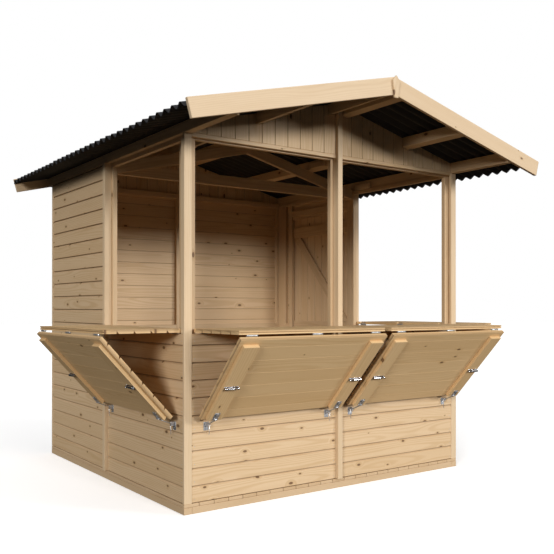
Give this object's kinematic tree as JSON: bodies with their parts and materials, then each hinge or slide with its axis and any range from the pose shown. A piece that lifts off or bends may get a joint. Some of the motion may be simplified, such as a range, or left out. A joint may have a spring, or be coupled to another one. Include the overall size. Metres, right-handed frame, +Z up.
{
  "type": "wooden market stall",
  "caption": "Square timber market stall with fold-out counters on three sides, lapped board walls, a ledged door and a low-pitched corrugated gable roof.",
  "frame": {"origin": "middle of the footprint, on the ground under the floor bearers", "axes": "+Z up, the front gable with two counters faces -Y, +X to the right of someone who looks at the front; the door is in the +X wall"},
  "size_m": [2.8546, 2.575, 2.251],
  "materials": {
    "floor_timber": "sawn softwood, end grain to the front",
    "cladding": "clear-stained lapped softwood boards",
    "frame_timber": "planed softwood, lightly oiled",
    "trim_timber": "planed softwood trim",
    "leaf_timber": "planed softwood boards, clear-stained",
    "door_timber": "tongued softwood boards",
    "barge_timber": "weathered softwood",
    "roof_sheet": "black corrugated bitumen sheet",
    "galvanised_steel": "zinc-plated steel"
  },
  "bodies": {
    "stall": {"floor_bearers": "floor_timber", "floor_boards": "floor_timber", "front_left_low_wall": "cladding", "front_right_low_wall": "cladding", "left_low_wall": "cladding", "right_low_wall": "cladding", "left_rear_wall": "cladding", "right_rear_wall": "cladding", "wall_over_door": "cladding", "back_left_wall": "cladding", "back_right_wall": "cladding", "front_uprights": "frame_timber", "side_uprights": "frame_timber", "back_uprights": "frame_timber", "wall_rails": "frame_timber", "top_rails": "frame_timber", "corner_trims": "trim_timber", "cover_strips": "trim_timber", "front_gable": "cladding", "back_gable": "cladding", "truss_rafters": "frame_timber", "truss_tie": "frame_timber", "purlins": "frame_timber", "roof_sheet_left": "roof_sheet", "roof_sheet_right": "roof_sheet", "ridge_cap": "roof_sheet", "front_bargeboards": "barge_timber", "back_bargeboards": "barge_timber", "apex_pieces": "barge_timber", "wall_hinges": "galvanised_steel"},
    "front_left_counter_leaf": {"front_left_counter": "leaf_timber", "front_left_fold_hinges": "galvanised_steel"},
    "front_right_counter_leaf": {"front_right_counter": "leaf_timber", "front_right_fold_hinges": "galvanised_steel"},
    "left_counter_leaf": {"left_counter": "leaf_timber", "left_fold_hinges": "galvanised_steel"},
    "right_counter_leaf": {"right_counter": "leaf_timber", "right_fold_hinges": "galvanised_steel"},
    "front_left_prop_leaf": {"front_left_prop": "leaf_timber"},
    "front_right_prop_leaf": {"front_right_prop": "leaf_timber"},
    "left_prop_leaf": {"left_prop": "leaf_timber"},
    "right_prop_leaf": {"right_prop": "leaf_timber"},
    "door": {"door_boards": "door_timber", "door_ledges": "frame_timber", "door_straps": "galvanised_steel"}
  },
  "joints": [
    {"name": "front_left_counter_hinge", "type": "hinge", "parent": "stall", "child": "front_left_counter_leaf", "pos_m": [-0.4805, -0.976, 0.914], "axis": [-1, 0, 0], "range_deg": [0, 90]},
    {"name": "front_left_prop_hinge", "type": "hinge", "parent": "front_left_counter_leaf", "child": "front_left_prop_leaf", "pos_m": [-0.4805, -1.3925, 0.903], "axis": [-1, 0, 0], "range_deg": [0, 132.44]},
    {"name": "front_right_counter_hinge", "type": "hinge", "parent": "stall", "child": "front_right_counter_leaf", "pos_m": [0.4805, -0.976, 0.914], "axis": [-1, 0, 0], "range_deg": [0, 90]},
    {"name": "front_right_prop_hinge", "type": "hinge", "parent": "front_right_counter_leaf", "child": "front_right_prop_leaf", "pos_m": [0.4805, -1.3925, 0.903], "axis": [-1, 0, 0], "range_deg": [0, 132.44]},
    {"name": "left_counter_hinge", "type": "hinge", "parent": "stall", "child": "left_counter_leaf", "pos_m": [-0.994, -0.4815, 0.914], "axis": [0, 1, 0], "range_deg": [0, 90]},
    {"name": "left_prop_hinge", "type": "hinge", "parent": "left_counter_leaf", "child": "left_prop_leaf", "pos_m": [-1.4105, -0.4815, 0.903], "axis": [0, 1, 0], "range_deg": [0, 132.44]},
    {"name": "right_counter_hinge", "type": "hinge", "parent": "stall", "child": "right_counter_leaf", "pos_m": [0.994, -0.4815, 0.914], "axis": [0, -1, 0], "range_deg": [0, 90]},
    {"name": "right_prop_hinge", "type": "hinge", "parent": "right_counter_leaf", "child": "right_prop_leaf", "pos_m": [1.4105, -0.4815, 0.903], "axis": [0, -1, 0], "range_deg": [0, 132.44]},
    {"name": "door_hinge", "type": "hinge", "parent": "stall", "child": "door", "pos_m": [1.007, 0.024, 0.92], "axis": [0, 0, -1], "range_deg": [0, 90]}
  ],
  "couplings": [
    {"joint": "front_left_prop_hinge", "follows": "front_left_counter_hinge", "ratio": 1.4716},
    {"joint": "front_right_prop_hinge", "follows": "front_right_counter_hinge", "ratio": 1.4716},
    {"joint": "left_prop_hinge", "follows": "left_counter_hinge", "ratio": 1.4716},
    {"joint": "right_prop_hinge", "follows": "right_counter_hinge", "ratio": 1.4716}
  ]
}
